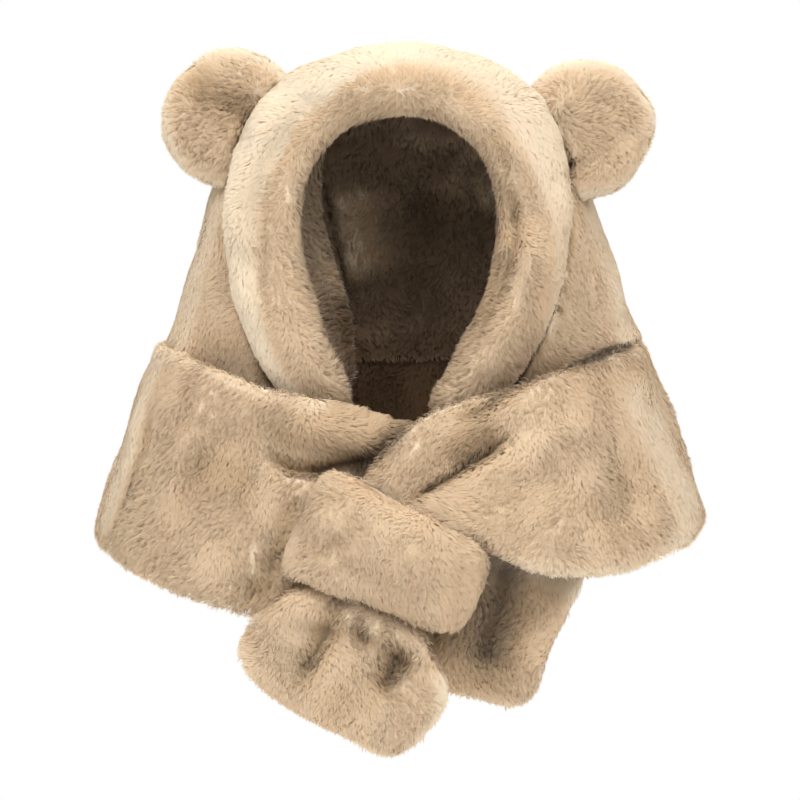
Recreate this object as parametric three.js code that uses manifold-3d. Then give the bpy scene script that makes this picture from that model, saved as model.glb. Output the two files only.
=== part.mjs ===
// A hooded scarf in thick beige plush, sized for a child of about three to six years and shown as it is worn.
// The hood has a padded rim round the face and two round ears. A broad scarf goes round the neck below it.
// The scarf's under end lies straight across the chest. Its upper end crosses over that one, is threaded down
// through a keeper sewn on the under end, and hangs below it as a gathered front tail.
// Millimetres. +X is to the viewer's right, +Y to the back of the head and +Z up.
// The origin is the place inside the crown where the top of the head sits.
import * as THREE from "three";
import { mergeVertices } from "three/addons/utils/BufferGeometryUtils.js";
import Module from "manifold-3d";

const wasm = await Module();
wasm.setup();

// Driving sizes
const hoodWall = 14; // two layers of plush, pile included
const rimDepth = 34; // of the padded rim, front to back
const scarfThickness = 16;
const keeperThickness = 13;
const earThickness = 20;
const gap = 0.35; // left between pieces that are sewn or pressed together
const faceCut = -72; // the hood's cloth ends here, inside the back of the rim

const plush = { color: 0xcbae8c, roughness: 0.95, metalness: 0 };

// Tables and curves

// One place in a table, counted in rows: each column follows a smooth curve through the rows.
function rowAt(rows, place) {
  const last = rows.length - 1;
  const index = THREE.MathUtils.clamp(Math.floor(place), 0, last - 1);
  const t = place - index;
  const at = (k) => rows[THREE.MathUtils.clamp(k, 0, last)];
  const [before, from, to, after] = [at(index - 1), at(index), at(index + 1), at(index + 2)];
  const found = {};
  for (const key of Object.keys(from)) {
    const startSlope = (to[key] - before[key]) / 2;
    const endSlope = (after[key] - from[key]) / 2;
    const bend = 2 * (from[key] - to[key]) + startSlope + endSlope;
    const lift = 3 * (to[key] - from[key]) - 2 * startSlope - endSlope;
    found[key] = ((bend * t + lift) * t + startSlope) * t + from[key];
  }
  return found;
}

// Places along a table: some in each row's stretch, and more close to both ends, where a form closes.
// Between two calm rows, if they are given, there are half as many.
function placesAlong(rows, perRow, endPlaces, calm = [0, 0]) {
  const last = rows.length - 1;
  const inner = Array.from({ length: (last - 2) * perRow + 1 }, (_, k) => k)
    .filter((k) => k % 2 === 0 || 1 + k / perRow < calm[0] || 1 + k / perRow > calm[1])
    .map((k) => 1 + k / perRow);
  return [...endPlaces, ...inner, ...endPlaces.map((p) => last - p).reverse()];
}

// How strongly a fold or dent is felt this far from its middle, where 1 is its reach.
const fade = (distance) => Math.exp(-2 * distance * distance);

// Solids

// A closed solid from corners and triangles. It is turned right side out if it came inside out.
function solidFrom(corners, triangles) {
  const build = (triVerts) =>
    new wasm.Manifold(
      new wasm.Mesh({
        numProp: 3,
        vertProperties: new Float32Array(corners.flatMap((p) => [p.x, p.y, p.z])),
        triVerts: new Uint32Array(triVerts),
      })
    );
  const solid = build(triangles);
  return solid.volume() > 0 ? solid : build([...triangles].reverse());
}

// The solid through a row of rings that hold equally many points. A fan closes each end.
function loft(rings) {
  const count = rings[0].length;
  const corners = rings.flat();
  const triangles = [];
  for (let r = 0; r + 1 < rings.length; r++)
    for (let i = 0; i < count; i++) {
      const here = r * count + i;
      const next = r * count + ((i + 1) % count);
      triangles.push(here, next, next + count, here, next + count, here + count);
    }
  const fan = (ring, first, towards) => {
    const middle = ring.reduce((sum, p) => sum.add(p), new THREE.Vector3()).divideScalar(count);
    corners.push(middle);
    for (let i = 0; i < count; i++) {
      const pair = [first + i, first + ((i + 1) % count)];
      triangles.push(...(towards ? pair : pair.reverse()), corners.length - 1);
    }
  };
  fan(rings[0], 0, false);
  fan(rings.at(-1), (rings.length - 1) * count, true);
  return solidFrom(corners, triangles);
}

// Rings moved along their surface's own direction, outwards for a positive distance.
function offsetRings(rings, distance) {
  const count = rings[0].length;
  return rings.map((ring, r) => {
    const above = rings[Math.max(r - 1, 0)];
    const below = rings[Math.min(r + 1, rings.length - 1)];
    return ring.map((point, i) => {
      const round = ring[(i + 1) % count].clone().sub(ring[(i + count - 1) % count]);
      const down = below[i].clone().sub(above[i]);
      return point.clone().addScaledVector(down.cross(round).normalize(), distance);
    });
  });
}

// A block, from its lowest to its highest corner.
function block(low, high) {
  const size = high.map((value, axis) => value - low[axis]);
  const centre = high.map((value, axis) => (value + low[axis]) / 2);
  const box = new THREE.BoxGeometry(...size).translate(...centre);
  box.deleteAttribute("normal");
  box.deleteAttribute("uv");
  const merged = mergeVertices(box);
  const corners = [];
  for (let i = 0; i < merged.attributes.position.count; i++)
    corners.push(new THREE.Vector3().fromBufferAttribute(merged.attributes.position, i));
  return solidFrom(corners, [...merged.index.array]);
}

// The largest of the bodies that a cut leaves.
const largest = (solid) => solid.decompose().sort((a, b) => b.volume() - a.volume())[0];

function meshOf(solid, name) {
  const { vertProperties, triVerts } = solid.getMesh();
  const geometry = new THREE.BufferGeometry();
  geometry.setAttribute("position", new THREE.BufferAttribute(vertProperties, 3));
  geometry.setIndex(new THREE.BufferAttribute(triVerts, 1));
  geometry.computeVertexNormals();
  const mesh = new THREE.Mesh(geometry, new THREE.MeshStandardMaterial(plush));
  mesh.name = name;
  return mesh;
}

// Scarf: one band from its under end, round the back of the neck, to its front tail.
// Each row gives its upper edge (ux, uy, uz), its lower edge (lx, ly, lz) and its thickness.
// In the tail the upper edge is the one on the viewer's left.
const scarfRows = [
  { ux: 131, uy: -80, uz: -278, lx: 78, ly: -108, lz: -399, thick: scarfThickness }, // under end
  { ux: 83, uy: -97, uz: -257, lx: 31, ly: -119, lz: -388, thick: scarfThickness },
  { ux: 20, uy: -104, uz: -226, lx: -30, ly: -122, lz: -364, thick: scarfThickness }, // under the keeper
  { ux: -42, uy: -101, uz: -209, lx: -93, ly: -116, lz: -342, thick: scarfThickness },
  { ux: -91, uy: -87, uz: -197, lx: -140, ly: -101, lz: -327, thick: scarfThickness },
  { ux: -130, uy: -58, uz: -181, lx: -175, ly: -67, lz: -312, thick: scarfThickness },
  { ux: -152, uy: -4, uz: -171, lx: -194, ly: -6, lz: -300, thick: scarfThickness }, // left shoulder
  { ux: -133, uy: 56, uz: -169, lx: -167, ly: 73, lz: -296, thick: scarfThickness },
  { ux: -82, uy: 100, uz: -166, lx: -103, ly: 120, lz: -295, thick: scarfThickness },
  { ux: 0, uy: 117, uz: -165, lx: 0, ly: 137, lz: -295, thick: scarfThickness }, // nape
  { ux: 82, uy: 100, uz: -166, lx: 103, ly: 120, lz: -294, thick: scarfThickness },
  { ux: 133, uy: 56, uz: -168, lx: 168, ly: 73, lz: -292, thick: scarfThickness },
  { ux: 150, uy: -4, uz: -171, lx: 195, ly: -6, lz: -288, thick: scarfThickness }, // right shoulder
  { ux: 126, uy: -60, uz: -179, lx: 178, ly: -71, lz: -302, thick: scarfThickness },
  { ux: 93, uy: -92, uz: -190, lx: 144, ly: -108, lz: -313, thick: scarfThickness },
  { ux: 60, uy: -108, uz: -203, lx: 106, ly: -124, lz: -317, thick: scarfThickness },
  { ux: 29, uy: -117, uz: -209, lx: 81, ly: -131, lz: -313, thick: 15 },
  { ux: 6, uy: -125, uz: -223, lx: 60, ly: -134, lz: -303, thick: 13 },
  { ux: -18, uy: -131, uz: -251, lx: 42, ly: -135, lz: -295, thick: 12 }, // into the keeper
  { ux: -42, uy: -136, uz: -290, lx: 28, ly: -138, lz: -322, thick: 12 },
  { ux: -58, uy: -141, uz: -320, lx: 14, ly: -143, lz: -352, thick: 12 }, // out of the keeper
  { ux: -90, uy: -143, uz: -340, lx: 30, ly: -147, lz: -377, thick: 15 },
  { ux: -98, uy: -142, uz: -364, lx: 24, ly: -149, lz: -402, thick: scarfThickness },
  { ux: -84, uy: -141, uz: -386, lx: -1, ly: -151, lz: -427, thick: scarfThickness }, // tail end
];

// Folds pressed into the scarf's outer face: place and reach along it in rows, across from the upper edge (0)
// to the lower (1) with its drift per row and its width, and its depth. A ridge has a depth below nought.
const scarfFolds = [
  { place: 0.55, reach: 0.4, across: 0.5, drift: 0, width: 0.5, depth: 5 }, // hollow along the under end
  { place: 2.4, reach: 1.5, across: 0.31, drift: -0.03, width: 0.1, depth: 10 }, // below the roll at the chin
  { place: 2.4, reach: 1.7, across: 0.14, drift: -0.02, width: 0.12, depth: -5 }, // the roll
  { place: 16.6, reach: 1.5, across: 0.3, drift: 0.025, width: 0.09, depth: 9 }, // crease up from the keeper
  { place: 16.6, reach: 1.3, across: 0.14, drift: 0.01, width: 0.1, depth: -3 }, // the roll beside it
  { place: 19, reach: 1.2, across: 0.3, drift: 0, width: 0.09, depth: 4 }, // inside the keeper
  { place: 19, reach: 1.2, across: 0.72, drift: 0, width: 0.09, depth: 4 },
  { place: 20.6, reach: 0.8, across: 0.3, drift: 0, width: 0.08, depth: 10 }, // gathers below the keeper
  { place: 20.5, reach: 0.5, across: 0.5, drift: 0, width: 0.07, depth: 7 },
  { place: 20.8, reach: 0.8, across: 0.73, drift: 0, width: 0.09, depth: 10 },
  { place: 20.6, reach: 0.7, across: 0.12, drift: 0, width: 0.1, depth: -3 }, // the puffs between them
  { place: 20.6, reach: 0.5, across: 0.61, drift: 0, width: 0.06, depth: -3 },
];
const scarfCorner = 16; // radius of the corners at both ends
const innerFoldShare = 0.3; // how far the inner face follows a fold
const edgeRoundness = 7; // higher keeps the band flat closer to its edges
const edgeGrowth = 2.5; // a grown band is widened by more, as its edges run slantwise to the rings in places
// Where a ring's points lie from the upper edge to the lower, on the outer face, and back on the inner face
const outerSteps = [
  0, 0.02, 0.06, 0.12, 0.18, 0.24, 0.3, 0.36, 0.43, 0.5, 0.56, 0.61, 0.67, 0.73, 0.79, 0.86, 0.93, 0.98, 1,
];
const innerSteps = [0.97, 0.88, 0.74, 0.58, 0.42, 0.26, 0.12, 0.03];

// The sheet's place, direction and size at one station of a band with an upper and a lower edge.
function bandStation(rows, place) {
  const last = rows.length - 1;
  const edge = (row, side) => new THREE.Vector3(row[side + "x"], row[side + "y"], row[side + "z"]);
  const middle = (p) => {
    const row = rowAt(rows, THREE.MathUtils.clamp(p, 0, last));
    return edge(row, "u").add(edge(row, "l")).multiplyScalar(0.5);
  };
  const row = rowAt(rows, place);
  const upper = edge(row, "u");
  const across = edge(row, "l").sub(upper);
  const along = middle(place + 0.1).sub(middle(place - 0.1));
  const out = along.cross(across).normalize();
  const toEnd = Math.min(middle(0).distanceTo(middle(place)), middle(last).distanceTo(middle(place)));
  return { upper, across, out, toEnd, thick: row.thick };
}

// One ring round the scarf: its outer face from the upper edge to the lower, and its inner face back.
function scarfRing(place, grow) {
  const { upper, across, out, toEnd, thick } = bandStation(scarfRows, place);
  const short = Math.max(1 - toEnd / scarfCorner, 0);
  const corner = scarfCorner * (1 - Math.sqrt(1 - short * short));
  const inset = corner / across.length();
  const closing = Math.sqrt(1 - 0.96 * short ** 6);
  const face = (v, side) => {
    const body = Math.sqrt(1 - Math.abs(2 * v - 1) ** edgeRoundness);
    const pressed = scarfFolds.reduce((sum, fold) => {
      const away = place - fold.place;
      const off = (v - fold.across - fold.drift * away) / fold.width;
      return sum + fold.depth * fade(away / fold.reach) * fade(off);
    }, 0);
    const half = (thick / 2) * body * closing + (v > 0 && v < 1 ? grow : 0);
    const shift = side * half - pressed * (side > 0 ? 1 : innerFoldShare);
    const spread = ((2 * v - 1) * edgeGrowth * grow) / across.length();
    const along = THREE.MathUtils.lerp(inset, 1 - inset, v) + spread;
    return upper.clone().addScaledVector(across, along).addScaledVector(out, shift);
  };
  return [...outerSteps.map((v) => face(v, 1)), ...innerSteps.map((v) => face(v, -1))];
}

function scarfSolid(grow = 0) {
  const places = placesAlong(scarfRows, 4, [0, 0.03, 0.1, 0.2, 0.35, 0.55, 0.78], [4, 15]);
  return loft(places.map((place) => scarfRing(place, grow)));
}

// Hood: level sections from the crown down. Each row gives a section's height, half width, and its reach to
// the front and to the back. tilt is how far it drops per millimetre towards the face, and shift is how far
// the section is drawn to the right.
const hoodRows = [
  { z: 12.5, half: 10, front: 50, back: 22, tilt: 0, shift: 0 },
  { z: 10, half: 38, front: 95, back: 47, tilt: 0, shift: 0 },
  { z: 3, half: 62, front: 112, back: 68, tilt: 0, shift: 0 },
  { z: -8, half: 81, front: 120, back: 84, tilt: 0, shift: 0 },
  { z: -25, half: 99, front: 125, back: 99, tilt: 0, shift: 0 },
  { z: -50, half: 113, front: 128, back: 112, tilt: 0, shift: 0.5 },
  { z: -80, half: 125, front: 125, back: 118, tilt: 0, shift: 1 },
  { z: -115, half: 137, front: 112, back: 118, tilt: 0.02, shift: 2 },
  { z: -142, half: 146, front: 98, back: 115, tilt: 0.05, shift: 2.5 },
  { z: -166, half: 153, front: 89, back: 114, tilt: 0.08, shift: 3 },
  { z: -178, half: 152, front: 86, back: 115, tilt: 0.11, shift: 2 },
  { z: -194, half: 147, front: 84, back: 116, tilt: 0.13, shift: 0 },
];
const hoodSides = 34; // points round a section

function hoodRings() {
  const places = placesAlong(hoodRows, 2, [0, 0.4, 0.7]);
  return places.map((place) => {
    const row = rowAt(hoodRows, place);
    return Array.from({ length: hoodSides }, (_, i) => {
      const turn = (2 * Math.PI * i) / hoodSides;
      const y = Math.sin(turn) * (Math.sin(turn) > 0 ? row.back : row.front);
      return new THREE.Vector3(row.shift + row.half * Math.cos(turn), y, row.z + row.tilt * y);
    });
  });
}

// The hood's solid with no hollow in it, for cutting what is sewn on to it.
const hoodFilled = (grow) => loft(offsetRings(hoodRings(), grow));

function hoodHollow() {
  const rings = offsetRings(hoodRings(), -hoodWall);
  const hem = rings.at(-1).map((p) => p.clone().add(new THREE.Vector3(0, 0, -hoodWall)));
  return loft([...rings, hem]);
}

// Rim: a padded roll round the face from below one cheek over the forehead to below the other.
// Each row gives the middle of the roll, its width in the plane of the face and its depth.
const rimRows = [
  { x: -38, y: -68, z: -226, width: 30, depth: 22 }, // hidden behind the scarf
  { x: -53, y: -72, z: -206, width: 40, depth: 30 },
  { x: -67, y: -76, z: -183, width: 46, depth: 32 },
  { x: -77, y: -79, z: -154, width: 49, depth: rimDepth },
  { x: -84, y: -80, z: -124, width: 47, depth: rimDepth },
  { x: -85, y: -80, z: -92, width: 47, depth: rimDepth },
  { x: -81, y: -80, z: -62, width: 49, depth: rimDepth },
  { x: -67, y: -80, z: -35, width: 50, depth: rimDepth },
  { x: -38, y: -80, z: -15, width: 47, depth: rimDepth },
  { x: 0, y: -80, z: -8, width: 45, depth: rimDepth }, // forehead
  { x: 38, y: -80, z: -14, width: 47, depth: rimDepth },
  { x: 68, y: -80, z: -36, width: 52, depth: rimDepth },
  { x: 82, y: -80, z: -66, width: 51, depth: rimDepth },
  { x: 84, y: -80, z: -96, width: 48, depth: rimDepth },
  { x: 80, y: -80, z: -126, width: 46, depth: rimDepth },
  { x: 71, y: -79, z: -156, width: 46, depth: rimDepth },
  { x: 57, y: -77, z: -184, width: 43, depth: 32 },
  { x: 43, y: -74, z: -208, width: 36, depth: 30 },
  { x: 28, y: -72, z: -228, width: 28, depth: 22 }, // hidden behind the scarf
];
// The rim's edge is turned in behind the roll, and shows inside the opening on the left.
const facingRows = [
  { x: -50, y: -64, z: -38, width: 14, depth: 12 },
  { x: -58.5, y: -61, z: -57, width: 24, depth: 17 },
  { x: -60.5, y: -60, z: -77, width: 27, depth: 19 },
  { x: -60, y: -60, z: -97, width: 27, depth: 20 },
  { x: -56.5, y: -60, z: -119, width: 30, depth: 20 },
  { x: -49, y: -60, z: -141, width: 30, depth: 20 },
  { x: -42, y: -61, z: -165, width: 28, depth: 19 },
  { x: -39, y: -62, z: -188, width: 23, depth: 17 },
  { x: -38, y: -64, z: -208, width: 14, depth: 14 },
];
// Valleys along the roll: place and reach along it in rows, the turn round its section in degrees with its
// drift per row (0 is outwards, 180 into the opening and 270 straight at the front), width and depth.
const rimFolds = [
  { place: 14, reach: 3.4, turn: 238, drift: -4, width: 30, depth: 6 },
  { place: 5.5, reach: 3, turn: 290, drift: 0, width: 34, depth: 3 },
];
const rimSides = 16;
const rimSquareness = 0.85; // under 1 fills the section's corners a little
const inDepth = new THREE.Vector3(0, 1, 0);

function rollSolid(rows, sides, folds, grow) {
  const last = rows.length - 1;
  const middle = (place) => {
    const row = rowAt(rows, THREE.MathUtils.clamp(place, 0, last));
    return new THREE.Vector3(row.x, row.y, row.z);
  };
  const bulge = (value) => Math.sign(value) * Math.abs(value) ** rimSquareness;
  const ringAt = (place) => {
    const { width, depth } = rowAt(rows, place);
    const along = middle(place + 0.1).sub(middle(place - 0.1));
    const outwards = inDepth.clone().cross(along).normalize();
    const toEnd = Math.min(place, last - place, 0.7) / 0.7;
    const closing = Math.sqrt(Math.max(1 - (1 - toEnd) ** 2, 0.02)) / 2;
    return Array.from({ length: sides }, (_, i) => {
      const turn = (2 * Math.PI * i) / sides;
      const pressed = folds.reduce((sum, fold) => {
        const away = place - fold.place;
        const off = (THREE.MathUtils.radToDeg(turn) - fold.turn - fold.drift * away) / fold.width;
        return sum + fold.depth * fade(away / fold.reach) * fade(off);
      }, 0);
      const sideways = width * closing * bulge(Math.cos(turn)) + (grow - pressed) * Math.cos(turn);
      const back = depth * closing * bulge(Math.sin(turn)) + (grow - pressed) * Math.sin(turn);
      return middle(place).addScaledVector(outwards, sideways).addScaledVector(inDepth, back);
    });
  };
  return loft(placesAlong(rows, 2, [0, 0.04, 0.15, 0.4, 0.7]).map(ringAt));
}

function rimSolid(grow = 0) {
  return rollSolid(rimRows, rimSides, rimFolds, grow).add(rollSolid(facingRows, 10, [], grow));
}

// Ears: padded discs with a dished front. turn faces them outwards and lean tips them back, in degrees.
// The dents are pressed into the front face: place (x, z) from the ear's middle, reach and depth.
const ears = [
  {
    name: "ear_left",
    centre: [-107, -47, -30],
    radius: 46.5,
    turn: -8,
    lean: -4,
    dents: [
      { x: -20, z: 17, reach: 20, depth: 4 },
      { x: 6, z: -6, reach: 34, depth: 2 },
    ],
  },
  {
    name: "ear_right",
    centre: [118, -47, -36.5],
    radius: 45.5,
    turn: 8,
    lean: -4,
    dents: [{ x: 0, z: -4, reach: 30, depth: 2.5 }],
  },
];
const earSides = 26;
// An ear's profile from the middle of its front to the middle of its back, in radii and thicknesses
const earProfile = [
  { r: 0.12, y: -0.42 },
  { r: 0.38, y: -0.44 },
  { r: 0.62, y: -0.48 },
  { r: 0.8, y: -0.46 },
  { r: 0.93, y: -0.32 },
  { r: 1, y: 0 },
  { r: 0.93, y: 0.32 },
  { r: 0.76, y: 0.47 },
  { r: 0.45, y: 0.52 },
  { r: 0.15, y: 0.54 },
];

function earSolid({ centre, radius, turn, lean, dents }) {
  const tilt = new THREE.Euler(THREE.MathUtils.degToRad(lean), 0, THREE.MathUtils.degToRad(turn));
  const rings = earProfile.map((profile) =>
    Array.from({ length: earSides }, (_, i) => {
      const angle = (2 * Math.PI * i) / earSides;
      const x = radius * profile.r * Math.cos(angle);
      const z = radius * profile.r * Math.sin(angle);
      const pressed = dents.reduce((sum, dent) => {
        return sum + dent.depth * fade(Math.hypot(x - dent.x, z - dent.z) / dent.reach);
      }, 0);
      const y = earThickness * profile.y + (profile.y < 0 ? pressed : 0);
      return new THREE.Vector3(x, y, z).applyEuler(tilt).add(new THREE.Vector3(...centre));
    })
  );
  return loft(rings);
}

// Keeper: a short band sewn on the scarf's under end by its two ends, arched over the threaded end.
// It is laid out in a frame of its own: e to the right along the band, d down the tail, and n outwards.
const keeperMiddle = new THREE.Vector3(-7, -121.3, -307);
const keeperAlong = new THREE.Vector3(0.92, 0, -0.39).normalize();
const downTail = new THREE.Vector3(-0.386, -0.13, -0.911);
const keeperOut = downTail.clone().cross(keeperAlong).normalize();
const keeperDown = keeperAlong.clone().cross(keeperOut).normalize();
// Each row gives a section's place along the band, its height over the under end, where its upper and lower
// edges are, and how far those edges curl in towards the tail.
const keeperRows = [
  { e: -53, n: 7.5, top: -33, low: 32, curl: 0 },
  { e: -51.5, n: 16, top: -37, low: 35, curl: 1 },
  { e: -45, n: 26, top: -40, low: 36, curl: 3 },
  { e: -32, n: 32, top: -40, low: 36, curl: 5 },
  { e: -12, n: 34.5, top: -38, low: 36, curl: 6 },
  { e: 9, n: 35, top: -36, low: 35, curl: 6 },
  { e: 28, n: 32.5, top: -34, low: 34, curl: 5 },
  { e: 42, n: 26, top: -32, low: 31, curl: 3 },
  { e: 49.5, n: 16, top: -29, low: 27, curl: 1 },
  { e: 51.5, n: 7.5, top: -26, low: 24, curl: 0 },
];
const keeperSteps = [0, 0.06, 0.18, 0.34, 0.5, 0.66, 0.82, 0.94, 1];

function keeperRing(place) {
  const last = keeperRows.length - 1;
  const at = (p) => rowAt(keeperRows, THREE.MathUtils.clamp(p, 0, last));
  const row = at(place);
  const ahead = at(place + 0.1);
  const behind = at(place - 0.1);
  const slope = new THREE.Vector2(ahead.e - behind.e, ahead.n - behind.n).normalize();
  const face = (v, side) => {
    const edge = Math.abs(2 * v - 1);
    const half = (keeperThickness / 2) * Math.sqrt(1 - edge ** 5);
    const rise = row.n + side * half * slope.x - row.curl * edge ** 3;
    return keeperMiddle
      .clone()
      .addScaledVector(keeperAlong, row.e - side * half * slope.y)
      .addScaledVector(keeperOut, rise)
      .addScaledVector(keeperDown, THREE.MathUtils.lerp(row.top, row.low, v));
  };
  const outer = keeperSteps.map((v) => face(v, 1));
  const inner = keeperSteps.slice(1, -1).reverse().map((v) => face(v, -1));
  return [...outer, ...inner];
}

function keeperSolid() {
  const places = placesAlong(keeperRows, 3, [0, 0.33, 0.67]);
  return loft(places.map(keeperRing));
}

// Assembly: what is sewn on is cut back by its neighbours, grown by the gap.
const scarf = scarfSolid();
const scarfGrown = scarfSolid(gap);
const rim = largest(rimSolid().subtract(scarfGrown));
const inFront = block([-300, -300, -400], [300, faceCut, 100]);
const hood = largest(
  hoodFilled(0).subtract(hoodHollow()).subtract(inFront).subtract(rimSolid(gap)).subtract(scarfGrown)
);
const behindEars = hoodFilled(gap).add(rimSolid(gap));
const keeper = largest(keeperSolid().subtract(scarfGrown));

const part = new THREE.Group();
part.add(meshOf(hood, "hood"));
part.add(meshOf(rim, "face_rim"));
for (const ear of ears) part.add(meshOf(largest(earSolid(ear).subtract(behindEars)), ear.name));
part.add(meshOf(scarf, "scarf"));
part.add(meshOf(keeper, "keeper"));

export default part;
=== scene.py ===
import math

import bmesh
import bpy
import numpy as np
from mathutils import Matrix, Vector
from mathutils.bvhtree import BVHTree
from mathutils.kdtree import KDTree


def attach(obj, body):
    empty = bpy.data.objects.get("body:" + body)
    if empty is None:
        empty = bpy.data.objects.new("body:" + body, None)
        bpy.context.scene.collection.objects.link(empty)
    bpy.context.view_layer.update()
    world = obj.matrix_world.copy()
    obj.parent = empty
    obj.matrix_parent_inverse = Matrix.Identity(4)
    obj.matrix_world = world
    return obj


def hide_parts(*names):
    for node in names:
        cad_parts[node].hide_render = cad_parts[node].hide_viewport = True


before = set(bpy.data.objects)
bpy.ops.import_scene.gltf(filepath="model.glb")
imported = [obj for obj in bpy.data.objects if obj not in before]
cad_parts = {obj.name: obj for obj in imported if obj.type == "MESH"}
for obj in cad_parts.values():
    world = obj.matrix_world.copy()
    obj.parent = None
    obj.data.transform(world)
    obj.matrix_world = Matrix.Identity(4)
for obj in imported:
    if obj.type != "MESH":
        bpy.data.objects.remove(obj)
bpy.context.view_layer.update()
scene = bpy.context.scene
print("frame loaded:", ", ".join(sorted(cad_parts)))


# Shader maths written as plain expressions
class Wire:
    def __init__(self, tree, socket=None):
        self.tree = tree
        self.socket = socket

    def add(self, kind, settings=None, values=None, out=0):
        node = self.tree.nodes.new(kind)
        for name, value in (settings or {}).items():
            if name == "stops":
                while len(node.color_ramp.elements) < len(value):
                    node.color_ramp.elements.new(0.5)
                for stop, (place, colour) in zip(node.color_ramp.elements, value):
                    stop.position = place
                    stop.color = colour
            else:
                setattr(node, name, value)
        for name, value in (values or {}).items():
            if isinstance(value, Wire):
                self.tree.links.new(value.socket, node.inputs[name])
            else:
                node.inputs[name].default_value = value
        return Wire(self.tree, node.outputs[out])

    def math(self, operation, first, second=0.0, clamp=False):
        settings = {"operation": operation, "use_clamp": clamp}
        return self.add("ShaderNodeMath", settings, {0: first, 1: second})

    def __add__(self, other):
        return self.math("ADD", self, other)

    def __radd__(self, other):
        return self.math("ADD", other, self)

    def __sub__(self, other):
        return self.math("SUBTRACT", self, other)

    def __rsub__(self, other):
        return self.math("SUBTRACT", other, self)

    def __mul__(self, other):
        return self.math("MULTIPLY", self, other)

    def __rmul__(self, other):
        return self.math("MULTIPLY", other, self)

    def clamped(self):
        return self.math("ADD", self, 0.0, True)

    def mix(self, first, second, blend="MIX"):
        # this wire is the factor between two colours
        settings = {"data_type": "RGBA", "blend_type": blend}
        return self.add("ShaderNodeMix", settings, {0: self, 6: first, 7: second}, 2)

    def noise(self, scale, detail=2.0, roughness=0.5):
        settings = {"noise_dimensions": "3D"}
        values = {"Vector": self, "Scale": scale, "Detail": detail, "Roughness": roughness}
        return self.add("ShaderNodeTexNoise", settings, values)


def newMaterial(name):
    material = bpy.data.materials.new(name)
    material.use_nodes = True
    material.node_tree.nodes.clear()
    wire = Wire(material.node_tree)
    place = wire.add("ShaderNodeTexCoord", out="Object")
    return material, wire, place


def finishMaterial(wire, values, through=None):
    # through is the share of the light that passes the surface, with its colour
    surface = wire.add("ShaderNodeBsdfPrincipled", values=values)
    if through:
        share, colour = through
        glow = wire.add("ShaderNodeBsdfTranslucent", values={"Color": colour})
        surface = wire.add("ShaderNodeMixShader", values={0: share, 1: surface, 2: glow})
    output = wire.tree.nodes.new("ShaderNodeOutputMaterial")
    wire.tree.links.new(surface.socket, output.inputs["Surface"])


# Camera and stage

view = {
    "distance": 1.8,
    "plane": -0.09,
    "width": 0.496,
    "height": -0.209,
}

camera = bpy.data.objects.new("camera", bpy.data.cameras.new("camera"))
scene.collection.objects.link(camera)
camera.data.sensor_width = 36
camera.data.lens = 36 * view["distance"] / view["width"]
camera.location = (0, view["plane"] - view["distance"], view["height"])
camera.rotation_euler = (math.radians(90), 0, 0)
scene.camera = camera

stage = {
    "floorHeight": -0.95,
    "floorSize": 6.0,
    "floorColour": (0.9, 0.9, 0.9, 1),
    "floorTint": (0.93, 0.93, 0.93, 1),
    "skyLevel": 0.78,
    "skyRise": 0.3,
    "skyBehind": 0.22,
    "skyLeast": 0.02,
    "keyPower": 55,
    "keySize": 2.2,
    "keyPlace": (0.0, -1.35, 1.2),
    "keyAim": (0.0, 0.0, -0.2),
}

scene.view_settings.view_transform = "Standard"
world = bpy.data.worlds.new("white room")
scene.world = world
world.use_nodes = True
sky = Wire(world.node_tree)
toSky = sky.add("ShaderNodeTexCoord")
above = sky.add("ShaderNodeSeparateXYZ", values={"Vector": toSky}, out="Z")
behind = sky.add("ShaderNodeSeparateXYZ", values={"Vector": toSky}, out="Y")
light = above * stage["skyRise"] + behind * stage["skyBehind"] + stage["skyLevel"]
light = light.math("MAXIMUM", light, stage["skyLeast"])
seen = sky.add("ShaderNodeLightPath", out="Is Camera Ray")
strength = light + seen * (1 - light)
world.node_tree.links.new(strength.socket, world.node_tree.nodes["Background"].inputs["Strength"])
world.node_tree.nodes["Background"].inputs["Color"].default_value = (1, 1, 1, 1)

key = bpy.data.objects.new("key", bpy.data.lights.new("key", "AREA"))
key.data.energy = stage["keyPower"]
key.data.size = stage["keySize"]
key.location = stage["keyPlace"]
keyCourse = Vector(stage["keyAim"]) - Vector(stage["keyPlace"])
key.rotation_euler = keyCourse.to_track_quat("-Z", "Y").to_euler()
scene.collection.objects.link(key)

floorMesh = bmesh.new()
bmesh.ops.create_grid(floorMesh, x_segments=1, y_segments=1, size=stage["floorSize"] / 2)
bmesh.ops.translate(floorMesh, verts=floorMesh.verts, vec=(0, 0, stage["floorHeight"]))
floor = bpy.data.objects.new("floor", bpy.data.meshes.new("floor"))
floorMesh.to_mesh(floor.data)
floorMesh.free()
scene.collection.objects.link(floor)
material, wire, place = newMaterial("pale floor")
tint = place.noise(3.0).mix(stage["floorTint"], stage["floorColour"])
finishMaterial(wire, {"Base Color": tint, "Roughness": 0.8, "Specular IOR Level": 0.1})
floor.data.materials.append(material)
print("camera and stage")


# Cores: the cloth of each piece, sunk by a part of the height of its pile

def arrayOf(items, name, width, kind=np.float64):
    values = np.empty(len(items) * width, kind)
    items.foreach_get(name, values)
    return values.reshape(-1, width)


def unit(vectors):
    return vectors / np.maximum(np.linalg.norm(vectors, axis=1, keepdims=True), 1e-12)


def waves(points, size, seed, count=14):
    # a smooth random field, about -1 to 1, whose humps are about size across
    rng = np.random.default_rng(seed)
    total = np.zeros(len(points))
    for turn in range(count):
        direction = unit(rng.normal(size=(1, 3)))[0]
        pitch = math.pi / size * rng.uniform(0.6, 1.4)
        total += np.sin(points @ direction * pitch + rng.uniform(0, 2 * math.pi))
    return total / math.sqrt(count) * 1.2


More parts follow.
